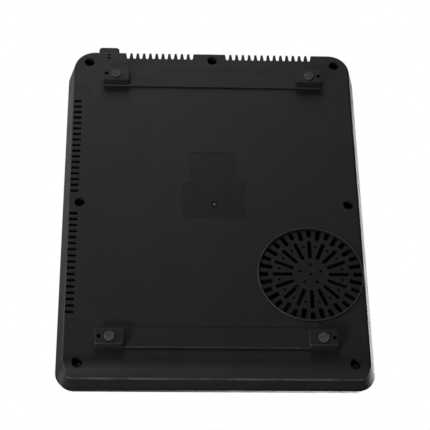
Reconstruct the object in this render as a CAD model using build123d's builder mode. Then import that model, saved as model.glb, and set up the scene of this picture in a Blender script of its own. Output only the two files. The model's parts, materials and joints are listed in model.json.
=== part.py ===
from build123d import *
from collections import namedtuple
from math import atan2, cos, degrees, radians, sin, tan
import os

os.makedirs("parts", exist_ok=True)

# A portable single-zone hot plate (induction type, fan cooled), standing on its feet.
# Front (the control side) is -Y, rear (the cord side) is +Y, the table is Z = 0.
# Millimetres. Places on the casing are given from the casing's own centre line, which lies
# CASE_Y away from the frame's origin, midway between the front rim and the cord bushing.

# ---------------------------------------------------------------- driving dimensions
CASE_Y = -2.4

# Casing outline at three heights
BASE_Z = 10.0
BASE_WIDTH = 268.4
BASE_FRONT = -171.4
BASE_REAR = 174.5
BASE_FRONT_RADIUS = 11.0
BASE_REAR_RADIUS = 20.0
RIM_Z = 36.4
RIM_WIDTH = 282.4
RIM_DEPTH = 354.4
RIM_FRONT_RADIUS = 16.0
RIM_REAR_RADIUS = 22.0
TOP_Z = 56.0
TOP_WIDTH = 275.0
TOP_DEPTH = 345.4
TOP_FRONT_RADIUS = 15.0
TOP_REAR_RADIUS = 20.0
TOP_EDGE = 5.0
BASE_EDGE = 2.2
WALL = 2.4
SPLIT_Z = 33.5
PARTING_GAP = 0.5
TONGUE_HEIGHT = 2.0
TONGUE_WALL = 1.1
FIT = 0.1

# Rolled front edge of the underside
ROLL_START = -156.0
ROLL_RADIUS = 19.9
ROLL_ANGLE = 63.4

# Casing screws, in deep wells
SCREW_SPOTS = (
    (-120.0, 161.8), (120.0, 161.8), (0.0, 165.7),
    (-124.3, 0.0), (124.3, 0.0),
    (-121.0, -162.3), (121.0, -162.3),
)
WELL_RADIUS = 4.8
WELL_SEAT_Z = 21.5
SCREW_HOLE_RADIUS = 2.0
LOWER_BOSS_RADIUS = 6.6
UPPER_BOSS_RADIUS = 4.5
BOSS_MEET_Z = 24.5
PILOT_RADIUS = 1.5
PILOT_TOP_Z = 41.0
SCREW_HEAD_RADIUS = 3.7
SCREW_HEAD_HEIGHT = 2.4
SCREW_RADIUS = 1.45
SCREW_TIP_Z = 39.0

# Feet
FOOT_X = 93.4
FOOT_Y = 142.2
FOOT_WIDTH = 25.6
FOOT_DEPTH = 15.8
FOOT_Z = 1.2
PAD_RADIUS = 4.8
PAD_HEIGHT = 3.0
HOLE_X = 102.8
HOLE_RADIUS = 1.9
HOLE_DEPTH = 8.0
STRIP_LENGTH = 212.4
STRIP_HEIGHT = 1.9
STRIP_BEVEL = 0.5
STRIPS = ((132.8, 151.2), (-149.3, -129.8))

# Label recess (blank) and moulding gate mark, as width, front and rear
LABEL_DEPTH = 0.2
GATE_DEPTH = 0.8
LABEL_STEPS = ((58.2, -16.0, 22.5), (44.0, 22.0, 56.8))
GATE_SPOT = (0.0, -1.0)

# Vents, as centre and count of each group
REAR_SLOT_WIDTH = 4.5
REAR_SLOT_END = 2.2
REAR_SLOT_ROUND = 0.9
REAR_SLOT_PITCH = 6.2
REAR_SLOT_INNER = 166.9
REAR_SLOT_TOP = 26.0
REAR_GROUPS = ((51.4, 11), (-55.25, 14))
SIDE_SLOT_WIDTH = 3.0
SIDE_SLOT_PITCH = 6.38
SIDE_SLOT_INNER = 125.7
SIDE_SLOT_OUTER = 133.4
SIDE_GROUPS = ((63.35, 17), (-63.2, 17))

# Fan and its grille
FAN_SPOT = (-85.9, -73.7)
GRILLE_RADIUS = 48.4
GRILLE_RECESS = 0.6
GRILLE_BEAD = 1.0
GRILLE_BEAD_RADIUS = 47.5
GRILLE_BEAD_WIDTH = 1.6
GRILLE_SLOT = 4.3
GRILLE_INNER_SLOT = 3.6
GRILLE_SLOT_ROUND = 1.3
FAN_SIDE = 88.0
FAN_LOW_Z = 15.0
FAN_HIGH_Z = 35.0
FAN_DUCT_RADIUS = 41.5
FAN_HOLE_PITCH = 78.0
BLADE_COUNT = 7
BLADE_TIP_RADIUS = 39.8
CUP_RADIUS = 17.0
CUP_WALL = 1.8
CUP_LOW_Z = 17.0
CUP_HIGH_Z = 30.5
HUB_PLATE_LOW_Z = 32.0
SHAFT_RADIUS = 1.5
SHAFT_CLEARANCE = 0.03
BEARING_RADIUS = 3.0
BEARING_TUBE_RADIUS = 4.2

# Cord inlet
INLET_X = 101.2
INLET_Z = 18.2
INLET_HOLE_RADIUS = 4.3
COLLAR_WIDTH = 19.8
COLLAR_HEIGHT = 14.4
COLLAR_CORNER = 3.2
COLLAR_EDGE = 1.4
COLLAR_ROOT = 165.0
COLLAR_END = 181.3
BUSHING_START = 176.2
BUSHING_END = 182.0
BUSHING_RADIUS = 4.8
BUSHING_LIP_RADIUS = 5.5
TIE_SLOT_LENGTH = 3.8
TIE_SLOT_WIDTH = 2.1
TIE_SLOT_DEPTH = 2.0
TIE_SLOT_SPOTS = ((INLET_X + 0.1, 171.4), (INLET_X + 0.2, 167.3))
CORD_BORE_RADIUS = 3.6

# Glass and its seat
GLASS_CENTRE_Y = 37.0
GLASS_WIDTH = 256.0
GLASS_DEPTH = 254.0
GLASS_RADIUS = 10.0
GLASS_LOW_Z = 53.0
GLASS_THICKNESS = 4.0
GLASS_GAP = 0.4
SEAL_THICKNESS = 0.8
LEDGE_WIDTH = 9.0
LEDGE_UNDER_Z = 49.7

# Control panel, tilted towards the user; heights are measured from its surface
KNEE_Y = -98.0
KNEE_RADIUS = 60.0
PANEL_TILT = 7.0
PANEL_Y = -137.0
PLATE = 3.0
OVERLAY_WIDTH = 238.0
OVERLAY_DEPTH = 56.0
OVERLAY_RADIUS = 6.0
OVERLAY_THICKNESS = 0.8
KEY_WIDTH = 22.0
KEY_DEPTH = 12.0
KEY_CORNER = 4.0
POWER_KEY_RADIUS = 9.5
KEY_RISE = 1.4
KEY_GAP = 0.35
KEY_FLANGE = 1.2
STEM_RADIUS = 2.2
STEM_END = -6.0
PLUNGER_RADIUS = 1.7
PLUNGER_END = -8.5
SWITCH_TOP = -7.9
SWITCH_SIDE = 6.2
SWITCH_WELL = 2.4
BOARD_TOP = -11.5
BOARD_THICKNESS = 1.6
BOARD_WIDTH = 222.0
BOARD_DEPTH = 44.0
BOARD_SCREWS = ((-104.0, 17.0), (104.0, 17.0), (-104.0, -17.0), (104.0, -17.0))
WINDOW_WIDTH = 54.0
WINDOW_DEPTH = 18.0
WINDOW_Y = 12.0
DISPLAY_TOP = -4.0
LED_RADIUS = 1.5
LED_Y = -2.2

# Coil assembly under the glass
FORMER_RADIUS = 96.0
FORMER_LOW_Z = 45.0
FORMER_THICKNESS = 2.5
FORMER_HUB_RADIUS = 7.0
COIL_POSTS = ((88.0, 92.0), (-88.0, 92.0), (88.0, -18.0), (-88.0, -18.0))
TURN_COUNT = 20
TURN_PITCH = 3.5
TURN_RADIUS = 1.9
COIL_INNER_RADIUS = 20.0
MICA_RADIUS = 94.0
MICA_THICKNESS = 0.8
FERRITE_COUNT = 6
FERRITE_SIZE = (50.0, 12.0, 5.0)
FERRITE_CENTRE_RADIUS = 52.0
SENSOR_THICKNESS = 0.8

# Power board and its heat sink
POWER_BOARD_SPOT = (42.0, -77.0)
POWER_BOARD_SIZE = (152.0, 102.0)
POWER_BOARD_Z = 18.0
POWER_BOARD_TOP = POWER_BOARD_Z + BOARD_THICKNESS
POWER_BOARD_HOLES = (140.0, 90.0)
HEAT_SINK_SPOT = (40.0, -86.0)
HEAT_SINK_SIZE = (80.0, 52.0)
HEAT_SINK_LOW_Z = 24.4
HEAT_SINK_BASE = 3.0
HEAT_SINK_HIGH_Z = 41.0
FIN_COUNT = 10
FIN_THICKNESS = 1.6

Station = namedtuple("Station", "z width front rear front_radius rear_radius")
BASE = Station(BASE_Z, BASE_WIDTH, BASE_FRONT, BASE_REAR, BASE_FRONT_RADIUS, BASE_REAR_RADIUS)
RIM = Station(RIM_Z, RIM_WIDTH, -RIM_DEPTH / 2, RIM_DEPTH / 2, RIM_FRONT_RADIUS, RIM_REAR_RADIUS)
TOP = Station(TOP_Z, TOP_WIDTH, -TOP_DEPTH / 2, TOP_DEPTH / 2, TOP_FRONT_RADIUS, TOP_REAR_RADIUS)

Key = namedtuple("Key", "name x y is_round")
KEYS = (
    Key("mode", -60.0, -12.0, False),
    Key("timer", -30.0, -12.0, False),
    Key("lock", 0.0, -12.0, False),
    Key("minus", 30.0, -12.0, False),
    Key("plus", 60.0, -12.0, False),
    Key("power", 97.0, 0.0, True),
)


# ---------------------------------------------------------------- helpers
def level(z):
    """Horizontal plane at height z, with its origin on the casing's centre line."""
    return Plane(origin=(0, CASE_Y, z), x_dir=(1, 0, 0), z_dir=(0, 0, 1))


def side_plane(x=0.0):
    """Upright plane across the casing: local x is +Y, local y is +Z."""
    return Plane(origin=(x, CASE_Y, 0), x_dir=(0, 1, 0), z_dir=(1, 0, 0))


def panel_level(height):
    """Plane parallel to the control panel's surface, height above it."""
    tilt = radians(PANEL_TILT)
    drop = (KNEE_Y - PANEL_Y) * tan(tilt)
    surface = Plane(
        origin=(0, CASE_Y + PANEL_Y, TOP_Z - drop),
        x_dir=(1, 0, 0),
        z_dir=(0, -sin(tilt), cos(tilt)),
    )
    return surface.offset(height)


def between(low, high, share):
    return low + (high - low) * share


def casing_outline(sketch, z, inset):
    """Draws the casing's rounded outline at height z in a sketch, moved inwards by inset."""
    low, high = (BASE, RIM) if z <= RIM_Z else (RIM, TOP)
    share = (z - low.z) / (high.z - low.z)
    width = between(low.width, high.width, share)
    front = between(low.front, high.front, share)
    rear = between(low.rear, high.rear, share)
    front_radius = between(low.front_radius, high.front_radius, share)
    rear_radius = between(low.rear_radius, high.rear_radius, share)
    with Locations((0, (front + rear) / 2)):
        Rectangle(width - 2 * inset, rear - front - 2 * inset)
    fillet(sketch.vertices().group_by(Axis.Y)[0], front_radius - inset)
    fillet(sketch.vertices().group_by(Axis.Y)[-1], rear_radius - inset)


def casing_form(z_low, z_high, inset):
    """Solid that fills the casing's outline between two heights."""
    with BuildPart() as form:
        for z in (z_low, z_high):
            with BuildSketch(level(z)) as outline:
                casing_outline(outline, z, inset)
        loft()
    return form.part


def front_roll(inset):
    """Everything above the underside and its rolled front edge, moved inwards by inset."""
    far = RIM_DEPTH
    with BuildPart() as roll:
        with BuildSketch(side_plane()):
            with BuildLine():
                arc = CenterArc(
                    center=(ROLL_START, BASE_Z + ROLL_RADIUS),
                    radius=ROLL_RADIUS - inset,
                    start_angle=270,
                    arc_size=-ROLL_ANGLE,
                )
                run_out = Line(arc @ 1, (arc @ 1) + (arc % 1) * WALL * 2)
                Polyline(
                    run_out @ 1,
                    (-far, (run_out @ 1).Y),
                    (-far, RIM_Z),
                    (far, RIM_Z),
                    (far, BASE_Z + inset),
                    arc @ 0,
                )
            make_face()
        extrude(amount=RIM_WIDTH, both=True)
    return roll.part


def shell_form(inset):
    """The lower casing's filled form, moved inwards by inset."""
    with BuildPart() as form:
        add(casing_form(BASE_Z + inset, SPLIT_Z, inset))
        add(front_roll(inset), mode=Mode.INTERSECT)
    return form.part


def slot_centres(groups, pitch):
    """Centres of every slot in the listed groups, along one line."""
    return [
        centre + pitch * (i - (count - 1) / 2)
        for centre, count in groups
        for i in range(count)
    ]


def grid(centre, pitch_x, pitch_y):
    """The four corners of a rectangle round centre."""
    x, y = centre
    return [
        (x + sign_x * pitch_x / 2, y + sign_y * pitch_y / 2)
        for sign_x in (-1, 1)
        for sign_y in (-1, 1)
    ]


def key_outline(key, margin):
    """Outline of one push key, grown by margin all round."""
    with Locations((key.x, key.y)):
        if key.is_round:
            Circle(POWER_KEY_RADIUS + margin)
        else:
            RectangleRounded(KEY_WIDTH + 2 * margin, KEY_DEPTH + 2 * margin, KEY_CORNER + margin)


def led_spots():
    return [(key.x, LED_Y) for key in KEYS if not key.is_round]


def save(part, name):
    part.label = name
    export_step(part, f"parts/{name}.step")


FAN_HOLES = grid(FAN_SPOT, FAN_HOLE_PITCH, FAN_HOLE_PITCH)
POWER_HOLES = grid(POWER_BOARD_SPOT, *POWER_BOARD_HOLES)
FOOT_SPOTS = grid((0, 0), 2 * FOOT_X, 2 * FOOT_Y)


# ---------------------------------------------------------------- bottom shell
def inlet_plane(y):
    """Upright plane across the cord's way in, facing the rear."""
    return Plane(origin=(INLET_X, CASE_Y + y, INLET_Z), z_dir=(0, 1, 0))


def block_outlines(mode=Mode.ADD):
    """Outlines of the four foot blocks."""
    with Locations(*FOOT_SPOTS):
        RectangleRounded(FOOT_WIDTH, FOOT_DEPTH, 2.0, mode=mode)


def grille_slots():
    """Fan grille: dots at the centre, then two rings of radial slots."""
    half_step = 360 / 32
    Circle(0.031 * GRILLE_RADIUS)
    with PolarLocations(0.20 * GRILLE_RADIUS, 5, start_angle=90):
        Circle(0.031 * GRILLE_RADIUS)
    with PolarLocations(0.60 * GRILLE_RADIUS, 16, start_angle=90 + half_step):
        Circle(0.026 * GRILLE_RADIUS)
    with PolarLocations(0.525 * GRILLE_RADIUS, 16, start_angle=90):
        RectangleRounded(0.38 * GRILLE_RADIUS, GRILLE_INNER_SLOT, GRILLE_SLOT_ROUND)
    with PolarLocations(0.877 * GRILLE_RADIUS, 16, start_angle=90):
        RectangleRounded(0.164 * GRILLE_RADIUS, GRILLE_SLOT, GRILLE_SLOT_ROUND)
    with PolarLocations(0.845 * GRILLE_RADIUS, 16, start_angle=90 + half_step):
        RectangleRounded(0.228 * GRILLE_RADIUS, GRILLE_SLOT, GRILLE_SLOT_ROUND)


def lap_tongue():
    """Thin lip on the shell's top edge that the top housing fits over."""
    with BuildPart() as tongue:
        add(casing_form(SPLIT_Z, SPLIT_Z + TONGUE_HEIGHT, WALL - TONGUE_WALL))
        add(casing_form(SPLIT_Z, SPLIT_Z + TONGUE_HEIGHT, WALL), mode=Mode.SUBTRACT)
    return tongue.part


def shell_skin():
    """The lower casing's outside, with the edge of its underside softened all round."""
    with BuildPart() as skin:
        add(shell_form(0))
        roll_line = Vector(0, CASE_Y + ROLL_START, BASE_Z)
        low_edges = skin.edges().filter_by(lambda e: e.bounding_box().max.Z < WELL_SEAT_Z)
        fillet(low_edges.filter_by(lambda e: (e.center() - roll_line).length > 1), BASE_EDGE)
    return skin.part


SKIN = shell_skin()

with BuildPart() as bottom_shell:
    add(SKIN)
    add(shell_form(WALL), mode=Mode.SUBTRACT)
    with BuildSketch(level(BASE_Z)):
        with Locations(*SCREW_SPOTS):
            Circle(LOWER_BOSS_RADIUS)
    extrude(amount=BOSS_MEET_Z - BASE_Z)
    add(SKIN, mode=Mode.INTERSECT)
    add(lap_tongue())

    # Posts for the coil former, the power board and the fan
    for spots, radius, pilot, top in (
        (COIL_POSTS, 4.0, 1.3, FORMER_LOW_Z),
        (POWER_HOLES, 3.5, 1.2, POWER_BOARD_Z),
        (FAN_HOLES, 3.6, 1.2, FAN_LOW_Z),
    ):
        with BuildSketch(level(BASE_Z + WALL / 2)):
            with Locations(*spots):
                Circle(radius)
        extrude(amount=top - BASE_Z - WALL / 2)
        with BuildSketch(level(top)):
            with Locations(*spots):
                Circle(pilot)
        extrude(amount=-(top - BASE_Z - WALL + 0.6), mode=Mode.SUBTRACT)

    # Hole for the cord in the rear wall
    with BuildSketch(inlet_plane(COLLAR_ROOT)):
        Circle(INLET_HOLE_RADIUS)
    extrude(amount=COLLAR_END - COLLAR_ROOT, mode=Mode.SUBTRACT)

    # Grille: a thin bead round a shallow recess
    with BuildSketch(level(BASE_Z)):
        with Locations(FAN_SPOT):
            Circle(GRILLE_BEAD_RADIUS + GRILLE_BEAD_WIDTH / 2)
            Circle(GRILLE_BEAD_RADIUS - GRILLE_BEAD_WIDTH / 2, mode=Mode.SUBTRACT)
    extrude(amount=-GRILLE_BEAD)
    bead_face = bottom_shell.faces().sort_by(Axis.Z)[0]
    fillet(bead_face.edges(), 0.4 * GRILLE_BEAD_WIDTH)
    with BuildSketch(level(BASE_Z)):
        with Locations(FAN_SPOT):
            Circle(GRILLE_BEAD_RADIUS - GRILLE_BEAD_WIDTH / 2)
    extrude(amount=GRILLE_RECESS, mode=Mode.SUBTRACT)
    with BuildSketch(level(BASE_Z)):
        with Locations(FAN_SPOT):
            grille_slots()
    extrude(amount=WALL + 0.1, mode=Mode.SUBTRACT)

    # Vents: the rear ones carry on up the rear wall, the side ones end on the rounded edge
    with BuildSketch(level(BASE_Z - 1)) as rear_vents:
        slot_xs = slot_centres(REAR_GROUPS, REAR_SLOT_PITCH)
        taper_depth = BASE_REAR - REAR_SLOT_INNER
        side_angle = degrees(atan2(taper_depth, (REAR_SLOT_WIDTH - REAR_SLOT_END) / 2))
        with Locations(*[(x, REAR_SLOT_INNER + taper_depth / 2) for x in slot_xs]):
            Trapezoid(REAR_SLOT_WIDTH, taper_depth, side_angle, rotation=180)
        way_out = RIM_DEPTH / 2 + 2 - BASE_REAR
        with Locations(*[(x, BASE_REAR + way_out / 2) for x in slot_xs]):
            Rectangle(REAR_SLOT_WIDTH, way_out)
        fillet(rear_vents.vertices().group_by(Axis.Y)[0], REAR_SLOT_ROUND)
    extrude(amount=REAR_SLOT_TOP - BASE_Z + 1, mode=Mode.SUBTRACT)
    with BuildSketch(level(BASE_Z - 1)):
        length = SIDE_SLOT_OUTER - SIDE_SLOT_INNER
        with Locations(*[
            (SIDE_SLOT_INNER + length / 2, y) for y in slot_centres(SIDE_GROUPS, SIDE_SLOT_PITCH)
        ]):
            RectangleRounded(length, SIDE_SLOT_WIDTH, 0.8)
    extrude(amount=WALL + 1.2, mode=Mode.SUBTRACT)

    # Screw wells
    with BuildSketch(level(0)):
        with Locations(*SCREW_SPOTS):
            Circle(WELL_RADIUS)
    extrude(amount=WELL_SEAT_Z, mode=Mode.SUBTRACT)
    with BuildSketch(level(WELL_SEAT_Z - 1)):
        with Locations(*SCREW_SPOTS):
            Circle(SCREW_HOLE_RADIUS)
    extrude(amount=BOSS_MEET_Z - WELL_SEAT_Z + 2, mode=Mode.SUBTRACT)

    # Blank label recess in two steps, the gate mark, and the cord tie's two slots
    for width, front, rear in LABEL_STEPS:
        with BuildSketch(level(BASE_Z)):
            with Locations((0, (front + rear) / 2)):
                RectangleRounded(width, rear - front, 1.0)
        extrude(amount=LABEL_DEPTH, mode=Mode.SUBTRACT)
    with BuildSketch(level(BASE_Z)):
        with Locations(GATE_SPOT):
            Circle(3.6)
            Circle(2.1, mode=Mode.SUBTRACT)
    extrude(amount=GATE_DEPTH, mode=Mode.SUBTRACT)
    with BuildSketch(level(BASE_Z)):
        with Locations(*TIE_SLOT_SPOTS):
            SlotOverall(TIE_SLOT_LENGTH, TIE_SLOT_WIDTH)
    extrude(amount=TIE_SLOT_DEPTH, mode=Mode.SUBTRACT)
save(bottom_shell.part, "bottom_shell")

with BuildPart() as foot_blocks:
    with BuildSketch(level(BASE_Z)):
        block_outlines()
    extrude(amount=FOOT_Z - BASE_Z)
    fillet(foot_blocks.edges().group_by(Axis.Z)[0], 0.8)
    # Pad pockets and the small holes outboard of them
    with BuildSketch(level(FOOT_Z)):
        with Locations(*FOOT_SPOTS):
            Circle(PAD_RADIUS)
    extrude(amount=PAD_HEIGHT - FOOT_Z, mode=Mode.SUBTRACT)
    with BuildSketch(level(FOOT_Z)):
        with Locations(*grid((0, 0), 2 * HOLE_X, 2 * FOOT_Y)):
            Circle(HOLE_RADIUS)
    extrude(amount=HOLE_DEPTH, mode=Mode.SUBTRACT)
save(foot_blocks.part, "foot_blocks")

with BuildPart() as base_strips:
    with BuildSketch(level(BASE_Z)):
        for front, rear in STRIPS:
            with Locations((0, (front + rear) / 2)):
                RectangleRounded(STRIP_LENGTH, rear - front, 1.5)
        block_outlines(mode=Mode.SUBTRACT)
    extrude(amount=-STRIP_HEIGHT)
    low_edges = base_strips.edges().group_by(Axis.Z)[0]
    chamfer(low_edges.filter_by(lambda e: e.length > FOOT_X), STRIP_BEVEL)
save(base_strips.part, "base_strips")

with BuildPart() as foot_pads:
    with BuildSketch(level(0)):
        with Locations(*FOOT_SPOTS):
            Circle(PAD_RADIUS)
    extrude(amount=PAD_HEIGHT)
    chamfer(foot_pads.edges().group_by(Axis.Z)[0], 0.4)
save(foot_pads.part, "foot_pads")


# ---------------------------------------------------------------- top housing
def top_surface(depth):
    """Everything under the housing's top, which bends down at the knee, moved in by depth."""
    far = RIM_DEPTH
    tangent = KNEE_RADIUS * tan(radians(PANEL_TILT / 2))
    with BuildPart() as under:
        with BuildSketch(side_plane()):
            with BuildLine():
                start = (KNEE_Y + tangent, TOP_Z - depth)
                flat = Line((far, TOP_Z - depth), start)
                bend = JernArc(start=start, tangent=(-1, 0), radius=KNEE_RADIUS, arc_size=PANEL_TILT)
                slope = PolarLine(start=bend @ 1, length=far, angle=180 + PANEL_TILT)
                Polyline(slope @ 1, ((slope @ 1).X, 0), (far, 0), flat @ 0)
            make_face()
        extrude(amount=RIM_WIDTH, both=True)
    return under.part


def housing_form():
    """The top housing's outside, with its upper edge rounded."""
    with BuildPart() as form:
        add(casing_form(SPLIT_Z + PARTING_GAP, RIM_Z, 0))
        add(casing_form(RIM_Z, TOP_Z, 0))
        add(top_surface(0), mode=Mode.INTERSECT)
        tops = form.faces().filter_by(lambda f: f.normal_at().Z > 0.9)
        knee = CASE_Y + KNEE_Y
        rim_edges = tops.edges().filter_by(
            lambda e: not (abs(e.center().Y - knee) < KNEE_RADIUS / 8 and abs(e.center().X) < 1)
        )
        fillet(rim_edges, TOP_EDGE)
    return form.part


def housing_cavity():
    """The space inside the top housing, under its ledge and its panel plate."""
    with BuildPart() as cavity:
        add(casing_form(SPLIT_Z, RIM_Z, WALL))
        add(casing_form(RIM_Z, TOP_Z, WALL))
        add(top_surface(PLATE), mode=Mode.INTERSECT)
        with BuildSketch(level(LEDGE_UNDER_Z)):
            with Locations((0, (RIM_DEPTH + KNEE_Y) / 2)):
                Rectangle(RIM_WIDTH, RIM_DEPTH - KNEE_Y)
        extrude(amount=TOP_Z, mode=Mode.SUBTRACT)
    return cavity.part


def upper_bosses():
    """One boss over each casing screw, up into the ledge or the panel plate."""
    with BuildPart() as bosses:
        with BuildSketch(level(BOSS_MEET_Z)):
            with Locations(*SCREW_SPOTS):
                Circle(UPPER_BOSS_RADIUS)
        extrude(amount=LEDGE_UNDER_Z + 1 - BOSS_MEET_Z)
        add(top_surface(PLATE / 2), mode=Mode.INTERSECT)
    return bosses.part


with BuildPart() as top_housing:
    add(housing_form())
    add(housing_cavity(), mode=Mode.SUBTRACT)
    # Room for the shell's tongue
    add(casing_form(SPLIT_Z, SPLIT_Z + TONGUE_HEIGHT + FIT, WALL - TONGUE_WALL - FIT), mode=Mode.SUBTRACT)
    # Recess and opening for the glass
    with BuildSketch(level(TOP_Z + 1)):
        with Locations((0, GLASS_CENTRE_Y)):
            RectangleRounded(
                GLASS_WIDTH + 2 * GLASS_GAP, GLASS_DEPTH + 2 * GLASS_GAP, GLASS_RADIUS + GLASS_GAP
            )
    extrude(amount=-(TOP_Z + 1 - GLASS_LOW_Z + SEAL_THICKNESS), mode=Mode.SUBTRACT)
    with BuildSketch(level(TOP_Z)):
        with Locations((0, GLASS_CENTRE_Y)):
            RectangleRounded(GLASS_WIDTH - 2 * LEDGE_WIDTH, GLASS_DEPTH - 2 * LEDGE_WIDTH, GLASS_RADIUS)
    extrude(amount=-(TOP_Z - LEDGE_UNDER_Z + 1), mode=Mode.SUBTRACT)
    # Recess for the panel overlay, and the openings for keys, display and lamps
    with BuildSketch(panel_level(1)):
        RectangleRounded(OVERLAY_WIDTH + 2 * FIT, OVERLAY_DEPTH + 2 * FIT, OVERLAY_RADIUS)
    extrude(amount=-(1 + OVERLAY_THICKNESS), mode=Mode.SUBTRACT)
    with BuildSketch(panel_level(1)):
        for key in KEYS:
            key_outline(key, KEY_GAP)
        with Locations((0, WINDOW_Y)):
            Rectangle(WINDOW_WIDTH + 2 * FIT, WINDOW_DEPTH + 2 * FIT)
        with Locations(*led_spots()):
            Circle(LED_RADIUS + FIT)
    extrude(amount=-(PLATE + 2), mode=Mode.SUBTRACT)
    # Bosses that the casing screws bite into
    add(upper_bosses())
    with BuildSketch(level(BOSS_MEET_Z)):
        with Locations(*SCREW_SPOTS):
            Circle(PILOT_RADIUS)
    extrude(amount=PILOT_TOP_Z - BOSS_MEET_Z, mode=Mode.SUBTRACT)
    # Posts that carry the control board
    with BuildSketch(panel_level(BOARD_TOP)):
        with Locations(*BOARD_SCREWS):
            Circle(3.2)
    extrude(amount=-BOARD_TOP - PLATE + 0.5)
    with BuildSketch(panel_level(BOARD_TOP)):
        with Locations(*BOARD_SCREWS):
            Circle(1.2)
    extrude(amount=6.5, mode=Mode.SUBTRACT)
save(top_housing.part, "top_housing")

with BuildPart() as housing_screws:
    with BuildSketch(level(WELL_SEAT_Z - SCREW_HEAD_HEIGHT)):
        with Locations(*SCREW_SPOTS):
            Circle(SCREW_HEAD_RADIUS)
    extrude(amount=SCREW_HEAD_HEIGHT)
    fillet(housing_screws.edges().group_by(Axis.Z)[0], 0.9)
    with BuildSketch(level(WELL_SEAT_Z)):
        with Locations(*SCREW_SPOTS):
            Circle(SCREW_RADIUS)
    extrude(amount=SCREW_TIP_Z - WELL_SEAT_Z)
    chamfer(housing_screws.edges().group_by(Axis.Z)[-1], 0.8)
    # Cross recess in each head
    with BuildSketch(level(WELL_SEAT_Z - SCREW_HEAD_HEIGHT)):
        with Locations(*SCREW_SPOTS):
            Rectangle(4.2, 0.9)
            Rectangle(0.9, 4.2)
    extrude(amount=1.4, mode=Mode.SUBTRACT)
save(housing_screws.part, "housing_screws")


# ---------------------------------------------------------------- cord inlet
with BuildPart() as cord_collar:
    with BuildSketch(level(INLET_Z - COLLAR_HEIGHT / 2)):
        with Locations((INLET_X, (COLLAR_ROOT + COLLAR_END) / 2)):
            RectangleRounded(COLLAR_WIDTH, COLLAR_END - COLLAR_ROOT, COLLAR_CORNER)
    extrude(amount=COLLAR_HEIGHT)
    by_height = cord_collar.edges().group_by(Axis.Z)
    fillet(by_height[0] + by_height[-1], COLLAR_EDGE)
    add(SKIN, mode=Mode.SUBTRACT)
    with BuildSketch(inlet_plane(COLLAR_ROOT)):
        Circle(INLET_HOLE_RADIUS)
    extrude(amount=BUSHING_START - COLLAR_ROOT, mode=Mode.SUBTRACT)
    with BuildSketch(inlet_plane(BUSHING_START)):
        Circle(BUSHING_RADIUS)
    extrude(amount=BUSHING_END - BUSHING_START, mode=Mode.SUBTRACT)
save(cord_collar.part, "cord_collar")

with BuildPart() as cord_bushing:
    with BuildSketch(inlet_plane(BUSHING_START)):
        Circle(BUSHING_RADIUS)
    extrude(amount=BUSHING_END - BUSHING_START)
    with BuildSketch(inlet_plane(COLLAR_END)):
        Circle(BUSHING_LIP_RADIUS)
    extrude(amount=BUSHING_END - COLLAR_END)
    fillet(cord_bushing.edges().filter_by(GeomType.CIRCLE).group_by(Axis.Y)[-1], 0.4)
    with BuildSketch(inlet_plane(BUSHING_START)):
        Circle(CORD_BORE_RADIUS)
    extrude(amount=BUSHING_END - BUSHING_START, mode=Mode.SUBTRACT)
save(cord_bushing.part, "cord_bushing")


# ---------------------------------------------------------------- glass
with BuildPart() as glass_plate:
    with BuildSketch(level(GLASS_LOW_Z)):
        with Locations((0, GLASS_CENTRE_Y)):
            RectangleRounded(GLASS_WIDTH, GLASS_DEPTH, GLASS_RADIUS)
    extrude(amount=GLASS_THICKNESS)
    chamfer(glass_plate.edges().group_by(Axis.Z)[-1], 0.7)
save(glass_plate.part, "glass_plate")

with BuildPart() as glass_seal:
    with BuildSketch(level(GLASS_LOW_Z - SEAL_THICKNESS)):
        with Locations((0, GLASS_CENTRE_Y)):
            RectangleRounded(GLASS_WIDTH, GLASS_DEPTH, GLASS_RADIUS)
            RectangleRounded(
                GLASS_WIDTH - 1.6 * LEDGE_WIDTH,
                GLASS_DEPTH - 1.6 * LEDGE_WIDTH,
                GLASS_RADIUS,
                mode=Mode.SUBTRACT,
            )
    extrude(amount=SEAL_THICKNESS)
save(glass_seal.part, "glass_seal")


# ---------------------------------------------------------------- control panel
with BuildPart() as panel_overlay:
    with BuildSketch(panel_level(-OVERLAY_THICKNESS)):
        RectangleRounded(OVERLAY_WIDTH, OVERLAY_DEPTH, OVERLAY_RADIUS)
        for key in KEYS:
            with BuildSketch(mode=Mode.PRIVATE) as hole:
                key_outline(key, KEY_GAP + 0.2)
            add(hole.sketch, mode=Mode.SUBTRACT)
        with Locations((0, WINDOW_Y)):
            Rectangle(WINDOW_WIDTH + 2 * FIT, WINDOW_DEPTH + 2 * FIT, mode=Mode.SUBTRACT)
        with Locations(*led_spots()):
            Circle(LED_RADIUS + FIT, mode=Mode.SUBTRACT)
    extrude(amount=OVERLAY_THICKNESS)
save(panel_overlay.part, "panel_overlay")

with BuildPart() as display_window:
    with BuildSketch(panel_level(-PLATE)):
        with Locations((0, WINDOW_Y)):
            Rectangle(WINDOW_WIDTH, WINDOW_DEPTH)
    extrude(amount=PLATE)
save(display_window.part, "display_window")


def build_key(key):
    """Push key: a cap above the overlay, a flange under the plate and a stem below."""
    with BuildPart() as cap:
        with BuildSketch(panel_level(-PLATE)):
            key_outline(key, 0)
        extrude(amount=PLATE + KEY_RISE)
        fillet(cap.faces().sort_by(Axis.Z)[-1].edges(), 0.8)
        with BuildSketch(panel_level(-PLATE - KEY_FLANGE)):
            key_outline(key, 1.2)
        extrude(amount=KEY_FLANGE)
        with BuildSketch(panel_level(STEM_END)):
            with Locations((key.x, key.y)):
                Circle(STEM_RADIUS)
        extrude(amount=-PLATE - KEY_FLANGE - STEM_END)
    return cap.part


def build_plunger(key):
    """The tact switch's own moving button, under the key's stem."""
    with BuildPart() as plunger:
        with BuildSketch(panel_level(PLUNGER_END)):
            with Locations((key.x, key.y)):
                Circle(PLUNGER_RADIUS)
        extrude(amount=STEM_END - PLUNGER_END)
    return plunger.part


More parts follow.
